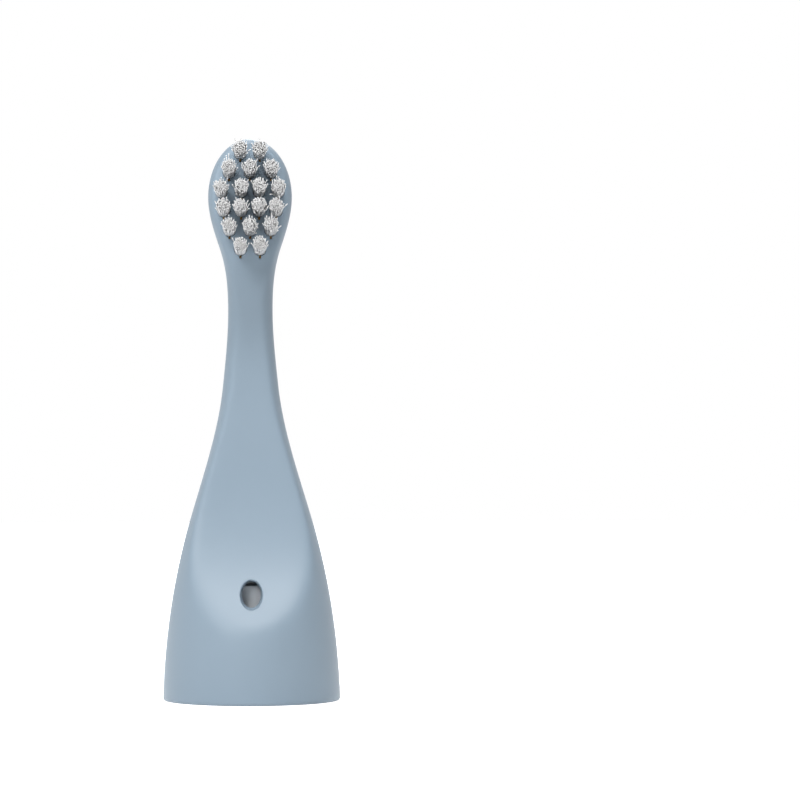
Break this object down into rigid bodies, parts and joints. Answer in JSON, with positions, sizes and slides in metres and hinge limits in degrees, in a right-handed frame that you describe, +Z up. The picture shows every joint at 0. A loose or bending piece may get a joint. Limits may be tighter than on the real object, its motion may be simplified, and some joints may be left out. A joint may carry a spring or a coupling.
{
  "type": "toothbrush head",
  "caption": "Push-on head for a child's powered toothbrush: a flared hollow sleeve with a scooped front and oval window, a slim neck and an egg-shaped plate of nylon tufts.",
  "frame": {"origin": "centre of the sleeve's rim, on the surface that the head stands on", "axes": "+Z runs up the head's axis from the rim to the tip, -Y is the side of the bristles, the scoop and the window, X runs across"},
  "size_m": [0.0236, 0.0236, 0.075],
  "materials": {
    "shell_plastic": "satin moulded polypropylene, blue-grey",
    "hub_plastic": "satin moulded acetal, light grey",
    "anchor_brass": "stamped brass, dull",
    "bristle_nylon": "drawn nylon filament, white"
  },
  "bodies": {
    "root": {"head_shell": "shell_plastic", "drive_hub": "hub_plastic", "tuft_anchors": "anchor_brass", "tuft_01": "bristle_nylon", "tuft_02": "bristle_nylon", "tuft_03": "bristle_nylon", "tuft_04": "bristle_nylon", "tuft_05": "bristle_nylon", "tuft_06": "bristle_nylon", "tuft_07": "bristle_nylon", "tuft_08": "bristle_nylon", "tuft_09": "bristle_nylon", "tuft_10": "bristle_nylon", "tuft_11": "bristle_nylon", "tuft_12": "bristle_nylon", "tuft_13": "bristle_nylon", "tuft_14": "bristle_nylon", "tuft_15": "bristle_nylon", "tuft_16": "bristle_nylon", "tuft_17": "bristle_nylon", "tuft_18": "bristle_nylon"}
  },
  "joints": []
}
